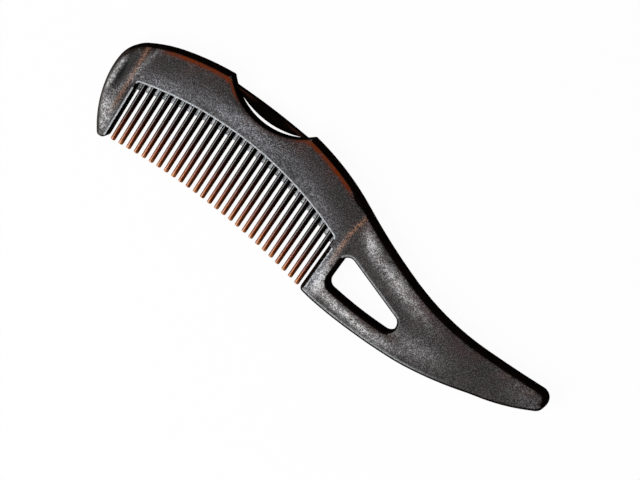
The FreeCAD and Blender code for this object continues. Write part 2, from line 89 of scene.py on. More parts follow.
# how finely the covers are divided
OUTLINE_STEP = 0.55
RING_OFFSETS = (0.1, 0.22, 0.38, 0.58, 0.82, 1.1, 1.45, 1.85, 2.35, 2.95)
SEAM_OFFSETS = (0.0, -0.3, 0.3, -0.6, 0.6, -0.95, 0.95, -1.4, 1.4, -1.9, 1.9)
SEAM_PITCH, FILL_PITCH = 0.6, 0.7
FILL_LEFT, FILL_RIGHT = -104.5, 104.5
FILL_LOW, FILL_HIGH = -29.2, 29.2
BATCH = 2000                    # how many points are measured at once


def arch_y(x):
    """Height of the arch line, an arc of a circle, at x."""
    return ARCH_Y + np.sqrt(ARCH_R ** 2 - (x - ARCH_X) ** 2)


def tip_y(x):
    """Height of the line of tooth tips, an arc of a large circle, at x."""
    return TIP_Y - (TIP_R - np.sqrt(TIP_R ** 2 - (x - TIP_X) ** 2))


def smooth(value, start, end):
    """0 before start, 1 after end, and an S-curve 3t^2 - 2t^3 between them."""
    t = np.clip((value - start) / (end - start), 0.0, 1.0)
    return t * t * (3.0 - 2.0 * t)


def between(pair, share):
    """Evenly from the first value of a pair to the second."""
    return pair[0] + (pair[1] - pair[0]) * share


# ------------------------------------------------------------------ camera
TILT = np.array([0.1375, 0.25, 1.0])    # towards the camera from the comb
ROLL = math.radians(34.0)
TARGET = np.array([-0.0020, -0.0069, 0.0])
DISTANCE = 1.5
VIEW_WIDTH = 0.2432             # how wide a strip the camera sees at the comb
SENSOR_WIDTH = 36.0


def place_camera():
    """Looks down the tilt, rolled so that the comb's +X falls to the lower right."""
    back = TILT / np.linalg.norm(TILT)
    across = np.array([1.0, 0.0, 0.0]) - back[0] * back
    across /= np.linalg.norm(across)
    up = np.cross(back, across)
    right = math.cos(ROLL) * across + math.sin(ROLL) * up
    above = -math.sin(ROLL) * across + math.cos(ROLL) * up
    data = bpy.data.cameras.new("camera")
    data.sensor_fit = "HORIZONTAL"
    data.sensor_width = SENSOR_WIDTH
    data.lens = SENSOR_WIDTH * DISTANCE / VIEW_WIDTH
    data.clip_start, data.clip_end = 0.05, 20.0
    camera = bpy.data.objects.new("camera", data)
    bpy.context.scene.collection.objects.link(camera)
    turn = Matrix((right, above, back)).transposed().to_4x4()
    camera.matrix_world = Matrix.Translation(TARGET + back * DISTANCE) @ turn
    bpy.context.scene.camera = camera


# ------------------------------------------------------------------ meshes
def make_piece(name, points, faces, nodes, looks, sharp):
    """A smooth-shaded mesh object from points in millimetres and its faces.

    Each entry of looks is a value at every point, which the piece's finish reads;
    edges that turn by more than sharp degrees stay crisp.
    """
    mesh = bpy.data.meshes.new(name)
    mesh.from_pydata((np.asarray(points) * MM).tolist(), [], faces)
    mesh.shade_smooth()
    mesh.set_sharp_from_angle(angle=math.radians(sharp))
    for key, values in looks.items():
        layer = mesh.attributes.new(key, "FLOAT", "POINT")
        layer.data.foreach_set("value", np.asarray(values, np.float32))
    mesh.validate()
    mesh.update()
    piece = bpy.data.objects.new(name, mesh)
    bpy.context.scene.collection.objects.link(piece)
    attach(piece, "root")
    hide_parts(*nodes)
    return piece


def superellipse(angle, power):
    """Points at those angles on the curve |u|^power + |v|^power = 1."""
    c, s = np.cos(angle), np.sin(angle)
    return np.sign(c) * abs(c) ** (2.0 / power), np.sign(s) * abs(s) ** (2.0 / power)


def tube_faces(rows, columns):
    """Quads round a tube of rows rings with columns points each, and its two end caps."""
    i, j = np.meshgrid(np.arange(rows - 1), np.arange(columns), indexing="ij")
    a, b = i * columns + j, i * columns + (j + 1) % columns
    quads = np.stack([a, b, b + columns, a + columns], 2).reshape(-1, 4).tolist()
    last = (rows - 1) * columns
    return quads + [list(range(columns))[::-1], list(range(last, last + columns))]


def node_sides(node, level):
    """Directed triangle sides of a CAD node's upright walls that lie at one level."""
    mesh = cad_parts[node].data
    mesh.calc_loop_triangles()
    points = np.empty(len(mesh.vertices) * 3)
    mesh.vertices.foreach_get("co", points)
    points = points.reshape(-1, 3) / MM
    corners = np.empty(len(mesh.loop_triangles) * 3, int)
    mesh.loop_triangles.foreach_get("vertices", corners)
    triangles = points[corners].reshape(-1, 3, 3)
    walls = triangles[triangles[:, :, 2].min(1) < level - 0.1]
    start = np.concatenate([walls[:, k] for k in (0, 1, 2)])
    end = np.concatenate([walls[:, k] for k in (1, 2, 0)])
    at_level = (abs(start[:, 2] - level) < 0.002) & (abs(end[:, 2] - level) < 0.002)
    return start[at_level, :2], end[at_level, :2]


def seam_offset(points):
    """Signed distance along X from the nose seam and from the handle seam."""
    x, y = points[:, 0], points[:, 1]
    return x - NOSE_SEAM_X, x - HANDLE_SEAM_X - HANDLE_SEAM_SLOPE * y


def comb_outline():
    """The front's outline and finger hole as directed pieces of at most the outline's step.

    The sides come from the three covers, without those that lie along a seam.
    Each side is divided evenly: point = start + (end - start) * k / n.
    """
    starts, ends = zip(*(node_sides(n, ROUND_START)
                         for n in ("nose_cover", "head_cover", "handle_cover")))
    start, end = np.concatenate(starts), np.concatenate(ends)
    seam = np.zeros(len(start), bool)
    for a, b in zip(seam_offset(start), seam_offset(end)):
        seam |= (abs(a) < 0.02) & (abs(b) < 0.02)
    start, end = start[~seam], end[~seam]
    keep = np.hypot(*(end - start).T) > 1e-3
    start, end = start[keep], end[keep]
    count = np.ceil(np.hypot(*(end - start).T) / OUTLINE_STEP).astype(int)
    which = np.repeat(np.arange(len(start)), count)
    order = np.arange(len(which)) - np.repeat(np.cumsum(count) - count, count)
    share = order / count[which]
    after = (order + 1) / count[which]
    run = (end - start)[which]
    return start[which] + run * share[:, None], start[which] + run * after[:, None]


def nearest(points, start, end):
    """Distance from each point to the nearest outline piece, and that piece's number.

    The foot of each point on a piece is start + t * (end - start), t held in 0..1.
    """
    run = end - start
    square = (run ** 2).sum(1)
    distance = np.empty(len(points))
    which = np.empty(len(points), int)
    for low in range(0, len(points), BATCH):
        block = points[low:low + BATCH]
        reach = block[:, None, :] - start[None]
        t = np.clip((reach * run[None]).sum(2) / square, 0.0, 1.0)
        gap = np.hypot(reach[:, :, 0] - t * run[:, 0], reach[:, :, 1] - t * run[:, 1])
        which[low:low + BATCH] = gap.argmin(1)
        distance[low:low + BATCH] = gap.min(1)
    return distance, which


def inside(points, start, end):
    """True where a ray to +X crosses the directed outline an odd number of times."""
    result = np.empty(len(points), bool)
    for low in range(0, len(points), BATCH):
        x, y = points[low:low + BATCH, 0, None], points[low:low + BATCH, 1, None]
        across = (start[:, 1] > y) != (end[:, 1] > y)
        rise = np.where(end[:, 1] == start[:, 1], 1.0, end[:, 1] - start[:, 1])
        cut = start[:, 0] + (y - start[:, 1]) / rise * (end[:, 0] - start[:, 0])
        result[low:low + BATCH] = (across & (cut > x)).sum(1) % 2 == 1
    return result


# ------------------------------------------------------------------ front covers
def edge_kinds(x, y, normal_x, normal_y):
    """How the front edge is finished at outline points with those outward normals.

    Returns the rounding's radius, how far in from the outline it is painted black as painted
    shade, and how strongly the pale painted highlight line shows just inside that.
    """
    arch = (abs(y - arch_y(x)) < 0.8) & (x > OPENING_LEFT) & (x < OPENING_RIGHT)
    guard = (abs(x - GUARD_X) < 0.2) & (y < 3.5)
    heel = (x > 1.0) & (x < OPENING_RIGHT) & (normal_x < -0.9) & (y < -5.0)
    hole = (x > HOLE_LEFT) & (x < HOLE_RIGHT) & (y < HOLE_HIGH) & (y > HOLE_LOW)
    hole_far = hole & (normal_y < -0.3)
    hole_end = hole & (normal_x < -0.6)
    notch = abs(np.hypot(x - NOTCH_X, y - NOTCH_Y) - NOTCH_R) < 0.3
    nose_side = (x < -94.0) & (normal_x < -0.35) & (normal_y < 0.5)
    handle_low = (x > 1.2) & (normal_y < -0.2) & ~hole
    handle_end = (x > BLUNT_END_X) & ~handle_low
    upper = smooth(normal_y, 0.1, 0.5)
    head = smooth(x, -99.0, -94.0) * (1.0 - smooth(x, 4.0, 12.0))
    radius = 0.8 + upper * (0.9 - 0.4 * head)
    shade = 1.2 * np.exp(-((x - 4.0) / 2.6) ** 2)
    black = 0.5 + upper * (0.55 + 0.35 * smooth(x, 4.0, 10.0) + shade)
    pale = np.zeros(len(x))
    # painted highlight: how strongly the pale line shows along the handle's lower edge, fading
    # towards the end
    low_edge_highlight = 0.55 * (1.0 - smooth(x, 45.0, 75.0))
    for where, rounded, blackened, highlighted in (
            (notch, 0.9, 0.3, 0.0), (nose_side, 1.2, 0.35, 0.0),
            (handle_low, 0.9, 0.85, low_edge_highlight), (handle_end, 1.9, 1.75, 0.0),
            (hole, 1.2, 1.2, 0.0), (hole_far, 0.6, 0.6, 0.45),
            (hole_end, 0.8, 0.8, 0.1), (arch, 0.35, 0.0, 1.0),
            (guard, 0.5, 0.3, 1.0), (heel, 1.4, 1.5, 1.0)):
        radius = np.where(where, rounded, radius)
        black = np.where(where, blackened, black)
        pale = np.where(where, highlighted, pale)
    return radius, black, pale


def bell(x, y, centre, along, across, angle):
    """exp(-q) of an ellipse: q = (u / along)^2 + (v / across)^2 in its own turned axes."""
    c, s = math.cos(math.radians(angle)), math.sin(math.radians(angle))
    u = (x - centre[0]) * c + (y - centre[1]) * s
    v = -(x - centre[0]) * s + (y - centre[1]) * c
    return np.exp(-(u / along) ** 2 - (v / across) ** 2)


def seam_ridge(x, y):
    """How strongly each of the two raised seam lines shows at a point, 0 to 1."""
    nose, handle = seam_offset(np.stack([x, y], 1))
    first = np.exp(-(nose / 0.75) ** 2) * smooth(y, -13.0, -2.0)
    bend = 2.0 * smooth(y, 2.0, 16.0)
    second = np.exp(-((handle - bend) / 0.85) ** 2) * smooth(y, -15.0, -4.0)
    return first, second


def front_height(x, y, distance, radius):
    """Height of the sculpted front over the comb's back.

    A crown that falls off towards the outline, quarter-round edges, two raised
    seam lines, a dish in the nose and a long swell down the handle.
    """
    crown = 1.0 - np.clip(distance / CROWN_REACH, 0.0, 1.0)
    height = FRONT_LEVEL - CROWN_FALL * crown ** 2
    first, second = seam_ridge(x, y)
    height += 0.16 * first + 0.18 * second
    dish = np.hypot((x + 99.2) / 2.5, (y - 7.5) / 13.0)
    height -= 0.9 * np.clip(1.0 - dish ** 2, 0.0, 1.0) ** 1.5
    height += 0.20 * bell(x, y, (18.0, 4.5), 9.0, 3.2, -32.0)
    height += 0.16 * bell(x, y, (42.0, -4.0), 22.0, 4.0, -14.0)
    height -= 0.25 * bell(x, y, (11.5, 3.0), 6.0, 1.8, 90.0)
    reach = np.clip(1.0 - distance / radius, 0.0, 1.0)
    height -= radius * (1.0 - np.sqrt(1.0 - reach ** 2))
    return np.minimum(height, FRONT_TOP)


def ring_points(start, end, outward):
    """The middles of the outline's pieces moved inwards by each ring's offset.

    Points that come nearer than that to another stretch of the outline are left out.
    """
    rings = []
    for offset in RING_OFFSETS:
        ring = (start + end) / 2 - outward * offset
        distance, _ = nearest(ring, start, end)
        rings.append(ring[distance > offset * 0.985])
    return np.concatenate(rings)


def seam_points(start, end):
    """Rows of points along both seams and beside them."""
    y = np.arange(-30.0, 30.0, SEAM_PITCH)
    rows = []
    for offset in SEAM_OFFSETS:
        rows.append(np.stack([np.full_like(y, NOSE_SEAM_X + offset), y], 1))
        rows.append(np.stack([HANDLE_SEAM_X + offset + HANDLE_SEAM_SLOPE * y, y], 1))
    points = np.concatenate(rows)
    points = points[inside(points, start, end)]
    distance, _ = nearest(points, start, end)
    return points[distance > 0.12]


def fill_points(start, end):
    """A hexagonal grid inside the outline, clear of its rings and of the seams' rows.

    Rows lie pitch * sqrt(3) / 2 apart, and every other row is moved half a pitch.
    """
    columns = np.arange(FILL_LEFT, FILL_RIGHT, FILL_PITCH)
    rows = np.arange(FILL_LOW, FILL_HIGH, FILL_PITCH * math.sqrt(3) / 2)
    x, y = np.meshgrid(columns, rows)
    x = x + (np.arange(len(rows)) % 2)[:, None] * FILL_PITCH / 2
    grid = np.stack([x.ravel(), y.ravel()], 1)
    grid = grid[inside(grid, start, end)]
    distance, _ = nearest(grid, start, end)
    nose, handle = seam_offset(grid)
    return grid[(distance > 3.3) & (abs(nose) > 2.2) & (abs(handle) > 2.6)]


def triangulate(start, end, loose):
    """Constrained Delaunay triangles of the outline and the loose points inside it."""
    corners, index = np.unique(np.round(np.concatenate([start, end]), 3), axis=0,
                               return_inverse=True)
    sides = index.reshape(2, -1).T
    sides = sides[sides[:, 0] != sides[:, 1]]
    flat = [Vector(p) for p in np.concatenate([corners, loose]).tolist()]
    made = delaunay_2d_cdt(flat, sides.tolist(), [], 0, 1e-4)
    points = np.array([tuple(p) for p in made[0]])
    triangles = np.array(made[2], int)
    return points, triangles[inside(points[triangles].mean(1), start, end)]


def front_relief(points, start, end, outward):
    """Height of the front at flat points, and the values that its finish reads there."""
    distance, which = nearest(points, start, end)
    at = (start + end)[which] / 2
    radius, black, pale = edge_kinds(at[:, 0], at[:, 1], outward[which, 0], outward[which, 1])
    x, y = points.T
    first, second = seam_ridge(x, y)
    dark_edge = 1.0 - smooth(distance, black - 0.1, black + 0.2)
    looks = {
        "rim": distance,
        "seam": np.maximum(first * 0.9, second),
        "upper": outward[which, 1] * (distance < 8.0),
        # painted highlight: the pale line just inside the black edge
        "pale": pale * smooth(distance, black - 0.15, black + 0.05)
                * (1.0 - smooth(distance, black + 0.4, black + 0.75)),
        # painted shade: how black the edge is painted
        "dark": np.where(black > 0.01, dark_edge, 0.0),
    }
    return front_height(x, y, distance, radius), looks


def build_cover(name, triangles, points, height, looks):
    """One cover: its triangles lifted to the front's height, its walls and its underside.

    Walls go straight down from the border to the rear shell, and the same
    triangles, turned over, close the cover underneath. Faces on an edge painted
    black as painted shade, the walls and the underside take the second material.
    """
    used, local = np.unique(triangles, return_inverse=True)
    local = local.reshape(-1, 3)
    count = len(used)
    flat = points[used]
    lines = np.concatenate([local[:, [0, 1]], local[:, [1, 2]], local[:, [2, 0]]])
    code = lines[:, 0] * count + lines[:, 1]
    border = lines[~np.isin(code, lines[:, 1] * count + lines[:, 0])]
    top = np.column_stack([flat, height[used]])
    bottom = np.column_stack([flat, np.full(count, BACK_TOP)])
    walls = np.stack([border[:, 1], border[:, 0], border[:, 0] + count,
                      border[:, 1] + count], 1)
    faces = local.tolist() + (local[:, ::-1] + count).tolist() + walls.tolist()
    cover = make_piece("sculpted_" + name, np.concatenate([top, bottom]), faces,
                       [name],
                       {key: np.tile(values[used], 2) for key, values in looks.items()},
                       sharp=48)
    dark = np.ones(len(faces), np.int32)
    dark[:len(local)] = looks["dark"][triangles].mean(1) > 0.6
    cover.data.polygons.foreach_set("material_index", dark)
    return cover


def build_covers():
    """The three front covers as one sculpted surface, divided along the two seams.

    Flat points (outline, rings inside it, seam rows, hexagonal fill) are
    triangulated once, and each cover keeps the triangles on its side of the seams.
    """
    start, end = comb_outline()
    run = end - start
    outward = np.stack([-run[:, 1], run[:, 0]], 1) / np.hypot(*run.T)[:, None]
    loose = [ring_points(start, end, outward), seam_points(start, end), fill_points(start, end)]
    points, triangles = triangulate(start, end, np.concatenate(loose))
    height, looks = front_relief(points, start, end, outward)
    nose, handle = seam_offset(points[triangles].mean(1))
    split = {
        "nose_cover": nose < 0,
        "head_cover": (nose > 0) & (handle < 0),
        "handle_cover": handle > 0,
    }
    return [build_cover(name, triangles[keep], points, height, looks)
            for name, keep in split.items()]


# ------------------------------------------------------------------ teeth
def build_tooth(number):
    """One tooth: a section carried from under the cover to a blunt tip.

    The section is a superellipse of power 2.6 in front and 5 behind. Width, depth
    and level change evenly from the arch to the tip, and over the blunt tip the
    section shrinks by 0.3 times 1 - sqrt(1 - t^2).
    """
    root_x = FIRST_TOOTH_X + TOOTH_PITCH * number
    root_y = arch_y(root_x)
    turn = math.atan(FIRST_SLOPE + SLOPE_STEP * number)
    length = root_y - tip_y(root_x)
    tip_start = length - BLUNT_TIP
    along = np.concatenate([
        np.linspace(-ROOT_UNDER_COVER, 0.0, 3), np.linspace(1.0, tip_start, 14),
        tip_start + BLUNT_TIP * np.sin(np.linspace(0.15, 1.0, 6) * math.pi / 2)])
    tip = np.clip((along - tip_start) / BLUNT_TIP, 0.0, 1.0)
    shrink = 0.7 + 0.3 * np.sqrt(np.clip(1.0 - tip ** 2, 0.0, 1.0))
    share = np.clip(along / length, 0.0, 1.0)
    width = between(TOOTH_WIDTH, share) * shrink
    half = between(TOOTH_HALF_DEPTH, share) * shrink
    middle = between(TOOTH_MIDDLE, share)
    angle = np.linspace(0.0, 2.0 * math.pi, 28, endpoint=False)
    u, v = superellipse(angle, np.where(np.sin(angle) > 0, 2.6, 5.0))
    across = u * width[:, None] / 2
    x = root_x + across * math.cos(turn) - along[:, None] * math.sin(turn)
    y = root_y - along[:, None] * math.cos(turn) - across * math.sin(turn)
    z = v * half[:, None] + middle[:, None]
    rows, columns = x.shape
    faces = tube_faces(rows, columns)
    name = "tooth_%02d" % (number + 1)
    tooth = make_piece("polished_" + name, np.stack([x, y, z], 2).reshape(-1, 3), faces,
                       [name], {"along": np.repeat(share, columns)}, sharp=60)
    facing = np.tile(angle + math.pi / columns, rows - 1)
    flank = np.ones(len(faces), np.int32)
    flank[:len(facing)] = (np.sin(facing) < LIT_STRIP) | (np.cos(facing) > 0.0)
    tooth.data.polygons.foreach_set("material_index", flank)
    return tooth


# ------------------------------------------------------------------ thumb rest
def arc_between(x, left, right, bow):
    """Height at x of the arc through left and right that bows by that much in the middle.

    The arc is written along its chord: bow - (R - sqrt(R^2 - s^2)) over the
    straight line from left to right, with R = (h^2 + bow^2) / (2 |bow|).
    """
    half = (right[0] - left[0]) / 2
    radius = (half ** 2 + bow ** 2) / (2 * abs(bow))
    s = np.clip(x - left[0] - half, -radius, radius)
    line = left[1] + (right[1] - left[1]) * (x - left[0]) / (2 * half)
    return line + bow - math.copysign(1, bow) * (radius - np.sqrt(radius ** 2 - s ** 2))


def build_rest():
    """The thumb rest: a section carried along X between a lower and an upper arc.

    The section is a superellipse of power 4, as tall as the space between the
    arcs; both ends run on into the walls of the notch.
    """
    bow = REST_LOW - (REST_LEFT[1] + REST_RIGHT[1]) / 2
    x = np.linspace(REST_LEFT[0] - REST_TAB_LEFT, REST_RIGHT[0] + REST_TAB_RIGHT, 110)
    upper = arc_between(x, (REST_LEFT[0], REST_LEFT[1] + REST_RISE_LEFT),
                        (REST_RIGHT[0], REST_RIGHT[1] + REST_RISE_RIGHT), REST_TOP_BOW)
    lower = np.minimum(arc_between(x, REST_LEFT, REST_RIGHT, bow), upper - REST_THINNEST)
    u, v = superellipse(np.linspace(0.0, 2.0 * math.pi, 40, endpoint=False), 4.0)
    y = (upper + lower)[:, None] / 2 + (upper - lower)[:, None] / 2 * u
    z = (REST_BACK + REST_FRONT) / 2 + (REST_FRONT - REST_BACK) / 2 * v + 0 * y
    points = np.stack([np.broadcast_to(x[:, None], y.shape), y, z], 2).reshape(-1, 3)
    ends = smooth(abs(x - (REST_LEFT[0] + REST_RIGHT[0]) / 2), 5.0, 12.0)[:, None]
    from_top = upper[:, None] - y
    band = smooth(from_top, 0.25, 0.5) * (1.0 - smooth(from_top, 0.9, 1.3)) * ends
    return make_piece("glossy_thumb_rest", points, tube_faces(*y.shape),
                      ["thumb_rest"], {"band": band.ravel()}, sharp=60)


# ------------------------------------------------------------------ materials
class Wire:
    """A socket of a material; arithmetic on it adds Math nodes."""

    def __init__(self, finish, socket):
        self.finish, self.socket = finish, socket

    def math(self, operation, *others):
        values = dict(enumerate((self,) + others))
        return self.finish.node("ShaderNodeMath", {"operation": operation}, values)

    def __add__(self, other):
        return self.math("ADD", other)

    def __radd__(self, other):
        return self.math("ADD", other)

    def __mul__(self, other):
        return self.math("MULTIPLY", other)

    def __rmul__(self, other):
        return self.math("MULTIPLY", other)

    def __sub__(self, other):
        return self.math("SUBTRACT", other)

    def __rsub__(self, other):
        return self.math("MULTIPLY_ADD", -1.0, other)

    def __truediv__(self, other):
        return self.math("DIVIDE", other)

    def __pow__(self, other):
        return self.math("POWER", other)

    def steps(self, start, end, low=0.0, high=1.0):
        """low before start, high after end, an S-curve between."""
        return self.finish.node("ShaderNodeMapRange", {"interpolation_type": "SMOOTHSTEP"},
                                {0: self, 1: start, 2: end, 3: low, 4: high})


class Finish:
    """A material being made. Uniform values go straight onto the shader's sockets."""

    def __init__(self, name, **uniform):
        self.material = bpy.data.materials.new(name)
        self.material.use_nodes = True
        self.tree = self.material.node_tree
        self.shader = self.tree.nodes["Principled BSDF"]
        for key, value in uniform.items():
            socket = key.replace("_", " ").title().replace("Ior", "IOR")
            self.shader.inputs[socket].default_value = value

    @cached_property
    def mm(self):
        """Object coordinates in millimetres."""
        place = self.node("ShaderNodeTexCoord", output="Object")
        return self.node("ShaderNodeVectorMath", {"operation": "SCALE"},
                         {0: place, "Scale": 1.0 / MM})

    @cached_property
    def x(self):
        return self.node("ShaderNodeSeparateXYZ", {}, {0: self.mm}, output="X")

    @cached_property
    def y(self):
        return self.node("ShaderNodeSeparateXYZ", {}, {0: self.mm}, output="Y")

    @cached_property
    def z(self):
        return self.node("ShaderNodeSeparateXYZ", {}, {0: self.mm}, output="Z")

    def node(self, kind, settings=None, inputs=None, output=0):
        """Adds a node: its settings first, then its values or links; returns one output."""
        made = self.tree.nodes.new(kind)
        for key, value in (settings or {}).items():
            if key == "stops":
                while len(made.color_ramp.elements) < len(value):
                    made.color_ramp.elements.new(0.5)
                for stop, (position, colour) in zip(made.color_ramp.elements, value):
                    stop.position, stop.color = position, (*colour, 1.0)
            else:
                setattr(made, key, value)
        for key, value in (inputs or {}).items():
            self.feed(made.inputs[key], value)
        return Wire(self, made.outputs[output])

    def feed(self, socket, value):
        """Links a wire to a socket, or sets the socket's plain value."""
        if isinstance(value, Wire):
            self.tree.links.new(value.socket, socket)
        elif socket.type == "RGBA" and len(value) == 3:
            socket.default_value = (*value, 1.0)
        else:
            socket.default_value = value

    def mix(self, share, first, second):
        """Colour between first and second."""
        return self.node("ShaderNodeMix", {"data_type": "RGBA"},
                         {0: share, 6: first, 7: second}, output=2)

    def add(self, first, second):
        """The sum of two colours."""
        return self.node("ShaderNodeVectorMath", {"operation": "ADD"}, {0: first, 1: second})

    def scaled(self, colour, share):
        """A colour made stronger or weaker by a number."""
        return self.node("ShaderNodeVectorMath", {"operation": "SCALE"},
                         {0: colour, "Scale": share})

    def noise(self, scale, detail, roughness, stretch=None):
        """Noise over the object, with scale in features per millimetre."""
        where = self.mm
        if stretch:
            where = self.node("ShaderNodeVectorMath", {"operation": "MULTIPLY"},
                              {0: self.mm, 1: stretch})
        return self.node("ShaderNodeTexNoise", {}, {"Vector": where, "Scale": scale,
                                                    "Detail": detail, "Roughness": roughness})

    def attribute(self, name):
        """A value that the piece's mesh carries at its points."""
        return self.node("ShaderNodeAttribute", {"attribute_name": name}, output="Fac")

    def spot(self, centre, along, across, angle):
        """A soft elliptical spot, 1 in its middle: exp of minus the squared reach."""
        c, s = math.cos(math.radians(angle)), math.sin(math.radians(angle))
        u = (self.x - centre[0]) * (c / along) + (self.y - centre[1]) * (s / along)
        v = (self.y - centre[1]) * (c / across) - (self.x - centre[0]) * (s / across)
        return ((u * u + v * v) * -1.0).math("EXPONENT")

    def bump(self, height, distance, strength):
        """The shading normal over small heights, with distance in millimetres."""
        return self.node("ShaderNodeBump", {}, {"Strength": strength, "Distance": distance * MM,
                                                "Height": height})

    def set(self, **sockets):
        """Feeds the shader's own sockets and returns the finished material."""
        for key, value in sockets.items():
            self.feed(self.shader.inputs[key.replace("_", " ")], value)
        return self.material


def over_arch(f):
    """Height of a point above the arch line, in millimetres."""
    return f.y - ((ARCH_R ** 2 - (f.x - ARCH_X) ** 2).math("SQRT") + ARCH_Y)


# colours of the finishes, in linear light
FACE_BROWN, SPINE_BROWN = (0.026, 0.0195, 0.0195), (0.038, 0.0165, 0.0125)
# the dish's near-black is painted shade in the nose's hollow
CLOUD_BROWN, DISH_SHADE_BLACK = (0.017, 0.0125, 0.0125), (0.002, 0.002, 0.002)
# painted sheen: the greys that the painted highlight spots add to the front's colour, cooler on
# the head
SHEEN_GREY, COOL_SHEEN_GREY = (0.262, 0.26, 0.258), (0.238, 0.26, 0.298)
# the pale flecks' near-white is a painted glint on the grain
FLECK_GLINT_WHITE, PIT_BLACK = (0.82, 0.81, 0.82), (0.004, 0.003, 0.003)
AMBER, DULL_AMBER = (0.150, 0.022, 0.0006), (0.040, 0.010, 0.003)
# the edges' black is painted shade
NOSE_BROWN, EDGE_BLACK = (0.014, 0.0085, 0.006), (0.003, 0.002, 0.002)
# the pale edge lines' colour is a painted highlight on the rounded edges
EDGE_HIGHLIGHT_PALE, SEAM_TAN = (0.66, 0.69, 0.72), (0.46, 0.23, 0.14)
# the walls' near-black is painted shade
SHADED_WALL_BLACK, SHADED_WALL_BROWN = (0.0028, 0.0018, 0.0015), (0.006, 0.0034, 0.0026)
WALL_FLECK = (0.014, 0.010, 0.008)
# the land's pale greys are painted light on the same dark plastic
LIT_LAND_GREY, LIT_LAND_PALE = (0.20, 0.21, 0.22), (0.78, 0.80, 0.82)
REST_BLACK, REST_BROWN = (0.0012, 0.0009, 0.0009), (0.003, 0.0015, 0.001)
REST_BAND = (0.030, 0.010, 0.006)

# colours of a tooth from its root, 0, to its tip, 1: amber where the tooth thins, the front strip
# painted far lighter than the flanks as a painted highlight, the flanks darker as painted shade
TOOTH_LIT_FRONT_STOPS = [
    (0.0, (0.003, 0.002, 0.002)), (0.36, (0.008, 0.003, 0.002)),
    (0.56, (0.050, 0.009, 0.003)), (0.76, (0.25, 0.050, 0.009)),
    (0.92, (0.52, 0.155, 0.038)), (1.0, (0.68, 0.31, 0.13))]
TOOTH_SHADED_FLANK_STOPS = [
    (0.0, (0.002, 0.0015, 0.0015)), (0.34, (0.006, 0.002, 0.001)),
    (0.56, (0.024, 0.0035, 0.001)), (0.78, (0.055, 0.009, 0.002)),
    (0.94, (0.085, 0.016, 0.003)), (1.0, (0.32, 0.12, 0.045))]

PAINTED_SHEEN_SPOTS = [
    # painted highlights, soft sheen spots on the front: centre, half-length, half-width, turn,
    # strength
    ((-47.0, 15.6), 20.0, 3.2, -2.0, 0.29),
    ((-84.0, 10.0), 10.0, 3.5, 16.0, 0.20),
    ((-12.0, 8.6), 12.0, 3.2, -20.0, 0.12),
    ((-97.8, -10.0), 8.0, 3.4, -62.0, 0.95),
    ((-101.9, 4.0), 8.0, 1.0, 86.0, 1.20),
    ((-95.0, 9.0), 12.0, 1.2, 76.0, 0.30),
    ((17.2, 4.6), 5.2, 2.0, -38.0, 1.15),
    ((33.0, -2.2), 12.0, 2.4, -20.0, 0.82),
    ((47.0, -7.5), 14.0, 3.6, -16.0, 0.08),
    ((7.0, -18.5), 5.0, 2.2, 84.0, 2.10),
    ((6.4, -9.0), 7.0, 1.5, 84.0, 0.55),
    ((14.0, -22.3), 6.0, 1.4, -14.0, 1.10),
    ((25.0, -24.0), 9.0, 1.5, -6.0, 1.00),
    ((37.0, -24.6), 9.0, 1.5, 4.0, 0.60),
    ((52.0, -19.5), 10.0, 4.0, 4.0, 0.30),
    ((96.0, -11.0), 12.0, 4.0, -14.0, 0.08),
]


def painted_sheen(f, head, patch, dish):
    """How strongly a soft sheen is painted on the front as painted highlight: soft spots, broken
    by patches, none in the dish.
    """
    # a faint painted sheen above the arch on the head, then the painted highlight spots
    sheen_share = head * over_arch(f).steps(1.0, 8.0, 0.09, 0.0)
    for centre, along, across, turn, strength in PAINTED_SHEEN_SPOTS:
        sheen_share = sheen_share + f.spot(centre, along, across, turn) * strength
    return sheen_share * patch.steps(0.3, 0.7, 0.5, 1.5) * (1.0 - dish)


def spine_glow(f, rim, upper, patch):
    """Where brown light shows along the spine, and its colour, duller in the notch's middle."""
    notch = f.x.steps(-63.5, -61.5) * f.x.steps(-26.0, -23.5, 1.0, 0.0)
    inner, width = notch * -0.75 + 1.05, notch * -0.4 + 1.0
    deep = (rim - inner) / width
    glow = upper.steps(0.3, 0.7) * deep.steps(-0.15, 0.15) * deep.steps(0.6, 2.5, 1.0, 0.0)
    glow = glow * f.x.steps(-93.0, -84.0) * f.x.steps(-3.0, 2.0, 1.0, 0.0)
    glow = glow * patch.steps(0.3, 0.7, 0.6, 1.0)
    middle = f.x.steps(-59.0, -54.0) * f.x.steps(-32.0, -26.0, 1.0, 0.0)
    return glow * (1.0 - middle * 0.55), f.mix(middle, AMBER, DULL_AMBER)


